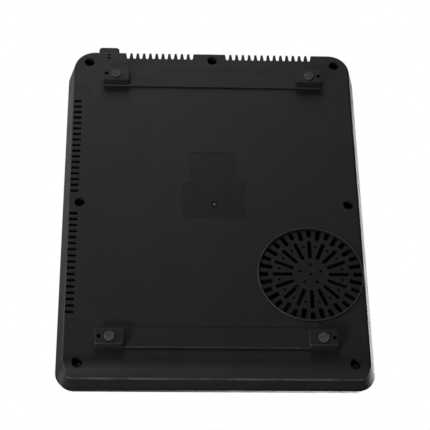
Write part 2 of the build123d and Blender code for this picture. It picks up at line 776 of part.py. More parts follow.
for key in KEYS:
    save(build_key(key), f"{key.name}_key")
    save(build_plunger(key), f"{key.name}_plunger")

with BuildPart() as tact_switches:
    with BuildSketch(panel_level(BOARD_TOP)):
        for key in KEYS:
            with Locations((key.x, key.y)):
                Rectangle(SWITCH_SIDE, SWITCH_SIDE)
    extrude(amount=SWITCH_TOP - BOARD_TOP)
    with BuildSketch(panel_level(SWITCH_TOP)):
        for key in KEYS:
            with Locations((key.x, key.y)):
                Circle(PLUNGER_RADIUS + 0.05)
    extrude(amount=-SWITCH_WELL, mode=Mode.SUBTRACT)
save(tact_switches.part, "tact_switches")

with BuildPart() as control_board:
    with BuildSketch(panel_level(BOARD_TOP - BOARD_THICKNESS)):
        RectangleRounded(BOARD_WIDTH, BOARD_DEPTH, 2.0)
        with Locations(*BOARD_SCREWS):
            Circle(1.6, mode=Mode.SUBTRACT)
    extrude(amount=BOARD_THICKNESS)
save(control_board.part, "control_board")

with BuildPart() as control_board_screws:
    with BuildSketch(panel_level(BOARD_TOP - BOARD_THICKNESS - 1.8)):
        with Locations(*BOARD_SCREWS):
            Circle(2.6)
    extrude(amount=1.8)
    with BuildSketch(panel_level(BOARD_TOP - BOARD_THICKNESS)):
        with Locations(*BOARD_SCREWS):
            Circle(1.15)
    extrude(amount=BOARD_THICKNESS + 6)
save(control_board_screws.part, "control_board_screws")

with BuildPart() as display_module:
    with BuildSketch(panel_level(BOARD_TOP)):
        with Locations((0, WINDOW_Y)):
            Rectangle(WINDOW_WIDTH - 4, WINDOW_DEPTH - 1)
    extrude(amount=DISPLAY_TOP - BOARD_TOP)
save(display_module.part, "display_module")

with BuildPart() as indicator_lamps:
    with BuildSketch(panel_level(BOARD_TOP)):
        with Locations(*led_spots()):
            Circle(LED_RADIUS)
    extrude(amount=-BOARD_TOP - 0.3)
save(indicator_lamps.part, "indicator_lamps")

with BuildPart() as buzzer:
    with BuildSketch(panel_level(BOARD_TOP)):
        with Locations((-92, 4)):
            Circle(6.0)
    extrude(amount=6.5)
    with BuildSketch(panel_level(BOARD_TOP + 6.5)):
        with Locations((-92, 4)):
            Circle(1.0)
    extrude(amount=-3, mode=Mode.SUBTRACT)
save(buzzer.part, "buzzer")


# ---------------------------------------------------------------- coil assembly
FORMER_TOP_Z = FORMER_LOW_Z + FORMER_THICKNESS
COIL_TOP_Z = FORMER_TOP_Z + 2 * TURN_RADIUS

with BuildPart() as coil_former:
    with BuildSketch(level(FORMER_LOW_Z)):
        with Locations((0, GLASS_CENTRE_Y)):
            Circle(FORMER_RADIUS)
        with Locations(*COIL_POSTS):
            Circle(9.0)
        with Locations((0, GLASS_CENTRE_Y)):
            Circle(FORMER_HUB_RADIUS, mode=Mode.SUBTRACT)
            with PolarLocations(60.0, 8, start_angle=22.5):
                SlotOverall(44.0, 10.0, mode=Mode.SUBTRACT)
        with Locations(*COIL_POSTS):
            Circle(1.8, mode=Mode.SUBTRACT)
    extrude(amount=FORMER_THICKNESS)
save(coil_former.part, "coil_former")

with BuildPart() as coil_screws:
    with BuildSketch(level(FORMER_TOP_Z)):
        with Locations(*COIL_POSTS):
            Circle(3.2)
    extrude(amount=2.0)
    with BuildSketch(level(FORMER_LOW_Z - 8)):
        with Locations(*COIL_POSTS):
            Circle(1.25)
    extrude(amount=8 + FORMER_THICKNESS)
save(coil_screws.part, "coil_screws")

with BuildPart() as induction_coil:
    # Flat winding: one bead of stranded wire per turn
    section = Plane(origin=(0, CASE_Y + GLASS_CENTRE_Y, FORMER_TOP_Z), x_dir=(1, 0, 0), z_dir=(0, -1, 0))
    with BuildSketch(section):
        with Locations(*[
            (COIL_INNER_RADIUS + TURN_RADIUS + i * TURN_PITCH, TURN_RADIUS) for i in range(TURN_COUNT)
        ]):
            Circle(TURN_RADIUS)
    revolve(axis=Axis((0, CASE_Y + GLASS_CENTRE_Y, 0), (0, 0, 1)))
save(induction_coil.part, "induction_coil")

with BuildPart() as mica_sheet:
    with BuildSketch(level(COIL_TOP_Z)):
        with Locations((0, GLASS_CENTRE_Y)):
            Circle(MICA_RADIUS)
            Circle(FORMER_HUB_RADIUS + 1, mode=Mode.SUBTRACT)
    extrude(amount=MICA_THICKNESS)
save(mica_sheet.part, "mica_sheet")

with BuildPart() as ferrite_bars:
    bar_length, bar_width, bar_height = FERRITE_SIZE
    with BuildSketch(level(FORMER_LOW_Z - bar_height)):
        with Locations((0, GLASS_CENTRE_Y)):
            with PolarLocations(FERRITE_CENTRE_RADIUS, FERRITE_COUNT, start_angle=30):
                Rectangle(bar_length, bar_width)
    extrude(amount=bar_height)
    chamfer(ferrite_bars.edges().group_by(Axis.Z)[0], 0.8)
save(ferrite_bars.part, "ferrite_bars")

with BuildPart() as sensor_holder:
    with BuildSketch(level(FORMER_LOW_Z - 2)):
        with Locations((0, GLASS_CENTRE_Y)):
            Circle(FORMER_HUB_RADIUS + 3)
    extrude(amount=2)
    with BuildSketch(level(FORMER_LOW_Z)):
        with Locations((0, GLASS_CENTRE_Y)):
            Circle(FORMER_HUB_RADIUS - FIT)
    extrude(amount=GLASS_LOW_Z - SENSOR_THICKNESS - FORMER_LOW_Z)
save(sensor_holder.part, "sensor_holder")

with BuildPart() as glass_sensor:
    with BuildSketch(level(GLASS_LOW_Z - SENSOR_THICKNESS)):
        with Locations((0, GLASS_CENTRE_Y)):
            Circle(4.0)
    extrude(amount=SENSOR_THICKNESS)
save(glass_sensor.part, "glass_sensor")

with BuildPart() as coil_leads:
    # Two leads, from the board's terminals up to the former's underside
    for x in (58.0, 70.0):
        with BuildLine(side_plane(x)):
            route = FilletPolyline(
                (-40.0, POWER_BOARD_TOP + 8),
                (-40.0, 34.0),
                (-24.0, 40.0),
                (-24.0, FORMER_LOW_Z),
                radius=3.0,
            )
        with BuildSketch(Plane(origin=route @ 0, z_dir=route % 0)):
            Circle(1.6)
        sweep(path=route)
save(coil_leads.part, "coil_leads")


# ---------------------------------------------------------------- power board
def standing_box(x, y, width, depth, height, edge):
    """A potted component standing on the power board, with soft upright edges."""
    with BuildPart() as box:
        with BuildSketch(level(POWER_BOARD_TOP)):
            with Locations((x, y)):
                RectangleRounded(width, depth, edge)
        extrude(amount=height)
        chamfer(box.faces().sort_by(Axis.Z)[-1].edges(), 0.4)
    return box.part


with BuildPart() as power_board:
    with BuildSketch(level(POWER_BOARD_Z)):
        with Locations(POWER_BOARD_SPOT):
            RectangleRounded(*POWER_BOARD_SIZE, 2.0)
        with Locations(*POWER_HOLES):
            Circle(1.6, mode=Mode.SUBTRACT)
    extrude(amount=BOARD_THICKNESS)
save(power_board.part, "power_board")

with BuildPart() as power_board_screws:
    with BuildSketch(level(POWER_BOARD_TOP)):
        with Locations(*POWER_HOLES):
            Circle(2.8)
    extrude(amount=1.9)
    with BuildSketch(level(POWER_BOARD_TOP)):
        with Locations(*POWER_HOLES):
            Circle(1.15)
    extrude(amount=-6.0)
save(power_board_screws.part, "power_board_screws")

with BuildPart() as heat_sink:
    sink_length, sink_depth = HEAT_SINK_SIZE
    with BuildSketch(level(HEAT_SINK_LOW_Z)):
        with Locations(HEAT_SINK_SPOT):
            Rectangle(sink_length, sink_depth)
    extrude(amount=HEAT_SINK_BASE)
    with BuildSketch(level(HEAT_SINK_LOW_Z + HEAT_SINK_BASE)):
        with Locations(HEAT_SINK_SPOT):
            with GridLocations(1, (sink_depth - FIN_THICKNESS) / (FIN_COUNT - 1), 1, FIN_COUNT):
                Rectangle(sink_length, FIN_THICKNESS)
    extrude(amount=HEAT_SINK_HIGH_Z - HEAT_SINK_LOW_Z - HEAT_SINK_BASE)
save(heat_sink.part, "heat_sink")

CHIP_HEIGHT = HEAT_SINK_LOW_Z - POWER_BOARD_TOP
save(standing_box(24.0, -84.0, 16.0, 20.0, CHIP_HEIGHT, 1.0), "power_transistor")
save(standing_box(58.0, -84.0, 28.0, 15.0, CHIP_HEIGHT, 1.0), "bridge_rectifier")
save(standing_box(102.0, -92.0, 18.0, 31.0, 18.0, 1.5), "smoothing_capacitor")
save(standing_box(102.0, -58.0, 12.0, 26.0, 18.0, 1.5), "resonant_capacitor")
save(standing_box(-14.0, -46.0, 26.0, 10.0, 17.0, 1.5), "mains_capacitor")
save(standing_box(-20.0, -72.0, 17.0, 18.0, 15.0, 1.0), "supply_transformer")

with BuildPart() as choke_coil:
    with BuildSketch(side_plane(-18.0)):
        with Locations((-102.0 + 10.5, POWER_BOARD_TOP + 4.5)):
            Circle(4.2)
    revolve(axis=Axis((-18.0, CASE_Y - 102.0, 0), (0, 0, 1)))
save(choke_coil.part, "choke_coil")

with BuildPart() as supply_capacitor:
    with BuildSketch(level(POWER_BOARD_TOP)):
        with Locations((18.0, -46.0)):
            Circle(5.0)
    extrude(amount=16.0)
    fillet(supply_capacitor.edges().group_by(Axis.Z)[-1], 0.8)
save(supply_capacitor.part, "supply_capacitor")

with BuildPart() as fuse:
    # Glass tube lying between two clips
    with BuildSketch(Plane(origin=(28.0, CASE_Y - 36.0, POWER_BOARD_TOP + 5), z_dir=(1, 0, 0))):
        Circle(2.6)
    extrude(amount=20.0)
    with BuildSketch(level(POWER_BOARD_TOP)):
        with Locations((30.5, -36.0), (45.5, -36.0)):
            Rectangle(4.0, 6.4)
    extrude(amount=5.0)
save(fuse.part, "fuse")

with BuildPart() as coil_terminals:
    with BuildSketch(level(POWER_BOARD_TOP)):
        with Locations((58.0, -40.0), (70.0, -40.0)):
            Circle(3.4)
    extrude(amount=8.0)
save(coil_terminals.part, "coil_terminals")

with BuildPart() as control_ribbon:
    # Flat cable from the power board's front edge up to the control board's underside
    with BuildSketch(side_plane(20.0)):
        with BuildLine():
            start = (-122.0, POWER_BOARD_TOP + 0.5)
            end_plane = panel_level(BOARD_TOP - BOARD_THICKNESS)
            end_point = end_plane.from_local_coords((0, 12.0, -0.8))
            lane = FilletPolyline(
                start,
                (-122.0, 31.0),
                (end_point.Y - CASE_Y, 34.0),
                (end_point.Y - CASE_Y, end_point.Z),
                radius=2.5,
            )
            offset(lane, amount=0.5, side=Side.BOTH)
        make_face()
    extrude(amount=16.0)
save(control_ribbon.part, "control_ribbon")


# ---------------------------------------------------------------- fan
with BuildPart() as fan_frame:
    with BuildSketch(level(FAN_LOW_Z)):
        with Locations(FAN_SPOT):
            RectangleRounded(FAN_SIDE, FAN_SIDE, 5.0)
            Circle(FAN_DUCT_RADIUS, mode=Mode.SUBTRACT)
        with Locations(*FAN_HOLES):
            Circle(1.8, mode=Mode.SUBTRACT)
    extrude(amount=FAN_HIGH_Z - FAN_LOW_Z)
    # Hub plate on four struts, with the bearing tube under it
    with BuildSketch(level(HUB_PLATE_LOW_Z)):
        with Locations(FAN_SPOT):
            Circle(CUP_RADIUS)
            Rectangle(2 * FAN_DUCT_RADIUS + 1, 3.0)
            Rectangle(3.0, 2 * FAN_DUCT_RADIUS + 1)
    extrude(amount=FAN_HIGH_Z - HUB_PLATE_LOW_Z)
    with BuildSketch(level(CUP_LOW_Z + CUP_WALL + 1)):
        with Locations(FAN_SPOT):
            Circle(BEARING_TUBE_RADIUS)
    extrude(amount=HUB_PLATE_LOW_Z - CUP_LOW_Z - CUP_WALL - 1)
    with BuildSketch(level(CUP_LOW_Z)):
        with Locations(FAN_SPOT):
            Circle(BEARING_RADIUS)
    extrude(amount=HUB_PLATE_LOW_Z + 1 - CUP_LOW_Z, mode=Mode.SUBTRACT)
save(fan_frame.part, "fan_frame")

with BuildPart() as fan_bearing:
    with BuildSketch(level(CUP_LOW_Z + CUP_WALL + 1)):
        with Locations(FAN_SPOT):
            Circle(BEARING_RADIUS)
            Circle(SHAFT_RADIUS + SHAFT_CLEARANCE, mode=Mode.SUBTRACT)
    extrude(amount=HUB_PLATE_LOW_Z - CUP_LOW_Z - CUP_WALL - 1)
save(fan_bearing.part, "fan_bearing")

with BuildPart() as fan_stator:
    with BuildSketch(level(CUP_LOW_Z + CUP_WALL + 1)):
        with Locations(FAN_SPOT):
            Circle(7.5)
            with PolarLocations(9.0, 4, start_angle=45):
                Rectangle(8.0, 3.6)
                with Locations((3.6, 0)):
                    Rectangle(2.4, 11.0)
            Circle(BEARING_TUBE_RADIUS, mode=Mode.SUBTRACT)
    extrude(amount=CUP_HIGH_Z - CUP_LOW_Z - CUP_WALL - 2)
save(fan_stator.part, "fan_stator")


def blade_form():
    """One cambered blade, running outwards from the hub along +X."""
    chord, camber, thickness = 13.0, 2.2, 1.4
    lean = 5.6
    with BuildPart() as blade:
        root = Plane(
            origin=(FAN_SPOT[0] + CUP_RADIUS - 0.8, CASE_Y + FAN_SPOT[1], (CUP_LOW_Z + CUP_HIGH_Z) / 2),
            x_dir=(0, 1, 0),
            z_dir=(1, 0, 0),
        )
        with BuildSketch(root):
            with BuildLine():
                ThreePointArc((-chord, -lean), (-1, camber), (chord, lean))
                ThreePointArc((chord, lean), (-1, camber - thickness), (-chord, -lean))
            make_face()
        extrude(amount=BLADE_TIP_RADIUS)
        with BuildSketch(level(CUP_LOW_Z)):
            with Locations(FAN_SPOT):
                Circle(BLADE_TIP_RADIUS)
        extrude(amount=CUP_HIGH_Z - CUP_LOW_Z, mode=Mode.INTERSECT)
    return blade.part


BLADE = blade_form()
FAN_AXIS = Axis((FAN_SPOT[0], CASE_Y + FAN_SPOT[1], 0), (0, 0, 1))

with BuildPart() as fan_rotor:
    with BuildSketch(level(CUP_LOW_Z)):
        with Locations(FAN_SPOT):
            Circle(CUP_RADIUS)
    extrude(amount=CUP_HIGH_Z - CUP_LOW_Z)
    for i in range(BLADE_COUNT):
        add(BLADE.rotate(FAN_AXIS, i * 360 / BLADE_COUNT))
    fillet(fan_rotor.faces().sort_by(Axis.Z)[0].edges().filter_by(GeomType.CIRCLE), 1.0)
    with BuildSketch(level(CUP_LOW_Z + CUP_WALL)):
        with Locations(FAN_SPOT):
            Circle(CUP_RADIUS - CUP_WALL)
    extrude(amount=CUP_HIGH_Z, mode=Mode.SUBTRACT)
    with BuildSketch(level(CUP_LOW_Z + CUP_WALL)):
        with Locations(FAN_SPOT):
            Circle(SHAFT_RADIUS)
    extrude(amount=-1.0, mode=Mode.SUBTRACT)
save(fan_rotor.part, "fan_rotor")

with BuildPart() as fan_shaft:
    with BuildSketch(level(CUP_LOW_Z + CUP_WALL - 1.0)):
        with Locations(FAN_SPOT):
            Circle(SHAFT_RADIUS)
    extrude(amount=HUB_PLATE_LOW_Z - 1 - CUP_LOW_Z)
    chamfer(fan_shaft.edges().group_by(Axis.Z)[-1], 0.3)
save(fan_shaft.part, "fan_shaft")

with BuildPart() as fan_screws:
    with BuildSketch(level(FAN_HIGH_Z)):
        with Locations(*FAN_HOLES):
            Circle(3.0)
    extrude(amount=2.0)
    with BuildSketch(level(FAN_LOW_Z - 2.4)):
        with Locations(*FAN_HOLES):
            Circle(1.15)
    extrude(amount=FAN_HIGH_Z - FAN_LOW_Z + 2.4)
save(fan_screws.part, "fan_screws")
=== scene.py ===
import json
import math

import bpy
from mathutils import Matrix, Vector


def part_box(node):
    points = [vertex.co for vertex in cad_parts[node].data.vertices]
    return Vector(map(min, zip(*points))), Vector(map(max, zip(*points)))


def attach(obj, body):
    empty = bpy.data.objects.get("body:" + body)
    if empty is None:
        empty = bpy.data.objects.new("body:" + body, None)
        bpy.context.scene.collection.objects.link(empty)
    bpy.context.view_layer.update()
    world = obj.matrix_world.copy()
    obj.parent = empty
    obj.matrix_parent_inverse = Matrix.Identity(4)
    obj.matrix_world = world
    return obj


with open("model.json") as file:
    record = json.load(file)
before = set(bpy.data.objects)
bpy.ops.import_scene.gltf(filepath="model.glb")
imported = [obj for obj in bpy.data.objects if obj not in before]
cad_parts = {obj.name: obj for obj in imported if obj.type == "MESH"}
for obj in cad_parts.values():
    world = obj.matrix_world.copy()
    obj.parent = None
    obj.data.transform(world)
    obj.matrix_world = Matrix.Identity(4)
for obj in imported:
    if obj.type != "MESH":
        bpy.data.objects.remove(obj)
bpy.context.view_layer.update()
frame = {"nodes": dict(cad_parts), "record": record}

# The appliance stands on its feet at Z = 0, with its control side towards -Y. The main view is of
# its underside, so the camera is below the table plane and looks up at it.

MM = 0.001
GLASS_LOW, GLASS_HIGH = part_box("glass_plate")
GLASS_CENTRE = (GLASS_LOW + GLASS_HIGH) / 2
FAN_LOW, FAN_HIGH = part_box("fan_rotor")
FAN_CENTRE = (FAN_LOW + FAN_HIGH) / 2
# The casing's own centre line lies 37 mm in front of the glass's
CASE_CENTRE_Y = GLASS_CENTRE.y - 37 * MM

# Places on the underside, in millimetres from the casing's centre line
LABEL_STEPS = ((29.1, -16.0, 22.5), (22.0, 22.0, 56.8))
GATE_MARK_Y = -1.0
# Where highlights are painted: the strips' front edges, the end of the front roll and the fan's bead
STRIP_FRONT_EDGES = (132.9, -149.2)
STRIP_LOW_Z = 9.2
ROLL_END_Y = -172.0
ROLL_END_Z = 20.8
FAN_DISC_RADIUS = 46.6
FAN_BEAD_RADIUS = 47.65

# Print on the glass: the cooking zone's rings as radius and half width, the radii its cross lines
# run between, and half of the frame's width and depth
ZONE_RINGS = ((94.0, 0.8), (90.5, 0.3), (52.0, 0.4), (6.0, 0.4))
ZONE_CROSS = (60.0, 84.5)
GLASS_FRAME = (122.5, 121.5)
GLASS_FRAME_LINE = 1.0

# The control panel's surface, which slopes down towards the user
PANEL_TILT = math.radians(7.0)
PANEL_CENTRE = Vector((0.0, CASE_CENTRE_Y - 137 * MM, 51.21 * MM))
PANEL_FRAME = (116.8, 25.8)
PANEL_FRAME_LINE = 0.4
DIVIDER_X = 80.0
DIVIDER_REACH = 18.0
KEY_RISE = 1.4 * MM
KEY_SPOTS = {
    "mode": (-60.0, -12.0),
    "timer": (-30.0, -12.0),
    "lock": (0.0, -12.0),
    "minus": (30.0, -12.0),
    "plus": (60.0, -12.0),
    "power": (97.0, 0.0),
}
DISPLAY_SPOT = (0.0, 12.0)
DISPLAY_DROP = -4.0 * MM
PRINT_THICKNESS = 0.06 * MM


# ---------------------------------------------------------------- camera, lights and stage
# The viewpoint, the direction that is to the right in the picture, and the direction of view
CAMERA_PLACE = Vector((60.4, -716.8, -1125.7)) * MM
CAMERA_RIGHT = Vector((-0.9989, -0.0142, -0.0446))
CAMERA_FORWARD = Vector((-0.0454, 0.5251, 0.8498))
CAMERA_LENS = 121.6

WHITE = (1.0, 1.0, 1.0)
WARM = (1.0, 0.995, 0.965)
# Square softboxes: name, place, target, size and power in metres and watts, and colour
SOFTBOXES = (
    ("overhead", (-0.9, 0.5, 2.2), (0.0, 0.0, 0.05), 2.0, 60.0, WHITE),
    ("front_above", (0.5, -2.2, 0.7), (0.0, 0.0, 0.05), 1.0, 0.6, WHITE),
    ("corner_above", (1.4, -0.45, 1.4), (0.0, 0.0, 0.05), 0.8, 2.4, WHITE),
    ("left_above", (1.0, 1.3, 1.2), (0.14, 0.05, 0.03), 0.8, 1.2, WHITE),
    ("left_level", (1.7, 0.6, 0.5), (0.0, 0.0, 0.03), 0.6, 1.6, WHITE),
    ("key_below", (1.1, -1.4, -0.9), (0.0, 0.0, 0.01), 0.4, 17.8, WARM),
    ("rear_below", (0.2, 1.35, -0.75), (0.0, 0.0, 0.01), 1.0, 5.6, WARM),
    ("left_below", (1.6, 0.3, -0.25), (0.0, 0.0, 0.01), 0.4, 5.4, WARM),
)

# The table's half side, and how much it glows by itself
FLOOR_REACH = 12.0
FLOOR_GLOW = 0.5
# The table fades to white between these distances from the appliance
FLOOR_FADE = (0.4, 2.6)


def make_camera():
    """The viewpoint that sees the underside from 58 degrees off its plane."""
    data = bpy.data.cameras.new("camera")
    camera = bpy.data.objects.new("camera", data)
    bpy.context.scene.collection.objects.link(camera)
    forward = CAMERA_FORWARD.normalized()
    up = CAMERA_RIGHT.normalized().cross(forward).normalized()
    right = forward.cross(up)
    turn = Matrix((right, up, -forward)).transposed()
    camera.matrix_world = Matrix.Translation(CAMERA_PLACE) @ turn.to_4x4()
    data.lens = CAMERA_LENS
    data.sensor_width = 36.0
    data.clip_end = 20.0
    bpy.context.scene.camera = camera


def make_lights():
    """Soft light from above for the glass side, and softboxes round and below for the underside."""
    for name, place, target, size, power, colour in SOFTBOXES:
        data = bpy.data.lights.new(name, "AREA")
        data.size = size
        data.energy = power
        data.color = colour
        light = bpy.data.objects.new(name, data)
        light.location = place
        aim = Vector(target) - Vector(place)
        light.rotation_euler = aim.to_track_quat("-Z", "Y").to_euler()
        bpy.context.scene.collection.objects.link(light)


def make_world():
    """White where the camera looks past the object. What lights it is bright round the horizon, for
    sheen on the upright walls, and dark above and below."""
    world = bpy.data.worlds.new("studio")
    world.use_nodes = True
    nodes, links = world.node_tree.nodes, world.node_tree.links
    nodes.clear()
    direction = nodes.new("ShaderNodeSeparateXYZ")
    links.new(nodes.new("ShaderNodeTexCoord").outputs["Generated"], direction.inputs[0])
    slant = nodes.new("ShaderNodeMath")
    slant.operation = "ABSOLUTE"
    links.new(direction.outputs["Z"], slant.inputs[0])
    fall = nodes.new("ShaderNodeMapRange")
    for name, value in (("From Min", 0.05), ("From Max", 0.42), ("To Min", 0.25), ("To Max", 0.025)):
        fall.inputs[name].default_value = value
    links.new(slant.outputs[0], fall.inputs["Value"])
    lit = nodes.new("ShaderNodeBackground")
    lit.inputs["Color"].default_value = (0.98, 0.99, 1.0, 1.0)
    links.new(fall.outputs[0], lit.inputs["Strength"])
    seen = nodes.new("ShaderNodeBackground")
    seen.inputs["Color"].default_value = (*WHITE, 1.0)
    mix = nodes.new("ShaderNodeMixShader")
    path = nodes.new("ShaderNodeLightPath")
    links.new(path.outputs["Is Camera Ray"], mix.inputs[0])
    links.new(lit.outputs[0], mix.inputs[1])
    links.new(seen.outputs[0], mix.inputs[2])
    out = nodes.new("ShaderNodeOutputWorld")
    links.new(mix.outputs[0], out.inputs["Surface"])
    bpy.context.scene.world = world
    bpy.context.scene.view_settings.view_transform = "Standard"


def table_surface():
    """Pale mottled table that fades to white with distance and can't be seen from below."""
    s = Surface("pale_table", roughness=0.8, specular=0.2)
    s.colour(s.ramp(s.noise(0.25, 2.0), (0.41, 0.41, 0.405), (0.43, 0.43, 0.425)))
    s.shader.inputs["Emission Color"].default_value = (1.0, 1.0, 0.99, 1.0)
    s.shader.inputs["Emission Strength"].default_value = FLOOR_GLOW
    away = s.nodes.new("ShaderNodeVectorMath")
    away.operation = "LENGTH"
    s.links.new(s.place, away.inputs[0])
    share_white = s.spread(away.outputs["Value"], 0.0, 1.0, FLOOR_FADE)
    white = s.nodes.new("ShaderNodeEmission")
    open_side = s.nodes.new("ShaderNodeBsdfTransparent")
    faded = s.mix_shaders(share_white, s.shader, white)
    underneath = s.nodes.new("ShaderNodeNewGeometry").outputs["Backfacing"]
    sided = s.mix_shaders(underneath, faded, open_side)
    s.links.new(sided.outputs[0], s.nodes["Material Output"].inputs["Surface"])
    return s


def make_floor():
    """Table under the feet. Only the camera sees it, so that light reaches the underside."""
    mesh = bpy.data.meshes.new("floor")
    reach = FLOOR_REACH
    corners = [(-reach, -reach, 0), (reach, -reach, 0), (reach, reach, 0), (-reach, reach, 0)]
    mesh.from_pydata(corners, [], [(0, 1, 2, 3)])
    mesh.materials.append(table_surface().material)
    floor = bpy.data.objects.new("floor", mesh)
    floor.visible_diffuse = False
    floor.visible_glossy = False
    floor.visible_transmission = False
    floor.visible_shadow = False
    bpy.context.scene.collection.objects.link(floor)


# ---------------------------------------------------------------- materials
class Surface:
    """A Principled material with object coordinates in metres and helpers for its detail."""

    def __init__(self, name, metallic=0.0, roughness=0.5, ior=1.5, specular=0.5):
        self.material = bpy.data.materials.new(name)
        self.material.use_nodes = True
        self.nodes = self.material.node_tree.nodes
        self.links = self.material.node_tree.links
        self.shader = self.nodes["Principled BSDF"]
        self.shader.inputs["Metallic"].default_value = metallic
        self.shader.inputs["Roughness"].default_value = roughness
        self.shader.inputs["IOR"].default_value = ior
        self.shader.inputs["Specular IOR Level"].default_value = specular
        self.place = self.nodes.new("ShaderNodeTexCoord").outputs["Object"]

    def noise(self, size, detail=3.0, stretch=(1.0, 1.0, 1.0)):
        """Noise whose features are about size metres across."""
        mapping = self.nodes.new("ShaderNodeMapping")
        mapping.inputs["Scale"].default_value = [1.0 / s for s in stretch]
        self.links.new(self.place, mapping.inputs["Vector"])
        texture = self.nodes.new("ShaderNodeTexNoise")
        texture.inputs["Scale"].default_value = 1.0 / size
        texture.inputs["Detail"].default_value = detail
        self.links.new(mapping.outputs[0], texture.inputs["Vector"])
        return texture.outputs["Fac"]

    def ramp(self, value, low, high, edges=(0.3, 0.7)):
        """Colour that goes from low to high as value goes between edges."""
        node = self.nodes.new("ShaderNodeValToRGB")
        for stop, edge, colour in zip(node.color_ramp.elements, edges, (low, high)):
            stop.position = edge
            stop.color = (*colour, 1.0)
        self.links.new(value, node.inputs[0])
        return node.outputs["Color"]

    def spread(self, value, low, high, edges=(0.3, 0.7)):
        """Number that goes from low to high as value goes between edges."""
        node = self.nodes.new("ShaderNodeMapRange")
        node.inputs["From Min"].default_value = edges[0]
        node.inputs["From Max"].default_value = edges[1]
        node.inputs["To Min"].default_value = low
        node.inputs["To Max"].default_value = high
        self.links.new(value, node.inputs["Value"])
        return node.outputs[0]

    def math(self, operation, first, second=None):
        """One arithmetic step on sockets or numbers."""
        node = self.nodes.new("ShaderNodeMath")
        node.operation = operation
        for socket, value in zip(node.inputs, (first, second)):
            if isinstance(value, (int, float)):
                socket.default_value = value
            elif value is not None:
                self.links.new(value, socket)
        return node.outputs[0]

    def either(self, shares):
        """The largest of several shares."""
        most = shares[0]
        for share in shares[1:]:
            most = self.math("MAXIMUM", most, share)
        return most

    def blend(self, share, first, second):
        """Mixes two colours, each a socket or a triple."""
        node = self.nodes.new("ShaderNodeMix")
        node.data_type = "RGBA"
        self.links.new(share, node.inputs[0])
        for socket, value in ((node.inputs[6], first), (node.inputs[7], second)):
            if isinstance(value, tuple):
                socket.default_value = (*value, 1.0)
            else:
                self.links.new(value, socket)
        return node.outputs[2]

    def mix_shaders(self, share, first, second):
        """Node that goes from the first shader node to the second as share goes from 0 to 1."""
        node = self.nodes.new("ShaderNodeMixShader")
        self.links.new(share, node.inputs[0])
        self.links.new(first.outputs[0], node.inputs[1])
        self.links.new(second.outputs[0], node.inputs[2])
        return node

    def axis(self, letter):
        """One coordinate of the surface point, in metres."""
        node = self.nodes.new("ShaderNodeSeparateXYZ")
        self.links.new(self.place, node.inputs[0])
        return node.outputs[letter]

    def inside(self, low, high, soft=0.0006):
        """1 inside an upright box seen from above, 0 outside it."""
        sides = []
        for letter, start, end in (("X", low[0], high[0]), ("Y", low[1], high[1])):
            value = self.axis(letter)
            rise = self.spread(value, 0.0, 1.0, (start - soft, start + soft))
            fall = self.spread(value, 1.0, 0.0, (end - soft, end + soft))
            sides.append(self.math("MULTIPLY", rise, fall))
        return self.math("MULTIPLY", *sides)

    def border(self, middle, reach, line, soft):
        """1 on a line just inside an upright box with its centre at X = 0 and Y = middle."""
        boxes = []
        for inset in (0.0, line):
            x, y = [(half - inset) * MM for half in reach]
            boxes.append(self.inside((-x, middle - y), (x, middle + y), soft))
        return self.math("SUBTRACT", *boxes)

    def offset(self, centre):
        """X and Y of the surface point from an upright axis."""
        return [self.math("SUBTRACT", self.axis(letter), place) for letter, place in zip("XY", centre)]

    def distance(self, centre):
        """Distance of the surface point from an upright axis."""
        squares = [self.math("MULTIPLY", value, value) for value in self.offset(centre)]
        return self.math("SQRT", self.math("ADD", *squares))

    def disc(self, centre, reach, soft):
        """1 within reach of an upright axis, fading to 0 over soft."""
        return self.spread(self.distance(centre), 1.0, 0.0, (reach, reach + soft))

    def near(self, value, place, reach, soft):
        """1 where value is within reach of a place, fading to 0 over soft."""
        off = self.math("ABSOLUTE", self.math("SUBTRACT", value, place))
        return self.spread(off, 1.0, 0.0, (reach, reach + soft))

    def base_colour(self):
        return self.shader.inputs["Base Color"].links[0].from_socket

    def colour(self, socket):
        self.links.new(socket, self.shader.inputs["Base Color"])

    def rough(self, socket):
        self.links.new(socket, self.shader.inputs["Roughness"])

    def bump(self, height, depth):
        """Relief of height (0 to 1) times depth metres; a second call adds to the first."""
        node = self.nodes.new("ShaderNodeBump")
        node.inputs["Strength"].default_value = 1.0
        node.inputs["Distance"].default_value = depth
        self.links.new(height, node.inputs["Height"])
        normal = self.shader.inputs["Normal"]
        if normal.links:
            self.links.new(normal.links[0].from_socket, node.inputs["Normal"])
        self.links.new(node.outputs[0], normal)


def moulded_plastic(name, dark, light, rough=(0.45, 0.6), grain=0.0006, depth=0.00002):
    """Injection-moulded plastic: fine spark texture, faint flow marks, uneven sheen."""
    s = Surface(name)
    s.colour(s.ramp(s.noise(0.03, 4.0), dark, light))
    s.rough(s.spread(s.noise(0.011, 3.0), *rough))
    s.bump(s.noise(grain, 2.0), depth)
    return s


def metal(name, dark, light, rough=(0.25, 0.4), stretch=(1.0, 1.0, 1.0), size=0.002):
    """Bare metal, whose grain is longer along the axes that stretch names."""
    s = Surface(name, metallic=1.0)
    grain = s.noise(size, 4.0, stretch)
    s.colour(s.ramp(grain, dark, light))
    s.rough(s.spread(s.noise(0.004), *rough))
    s.bump(grain, 0.00001)
    return s


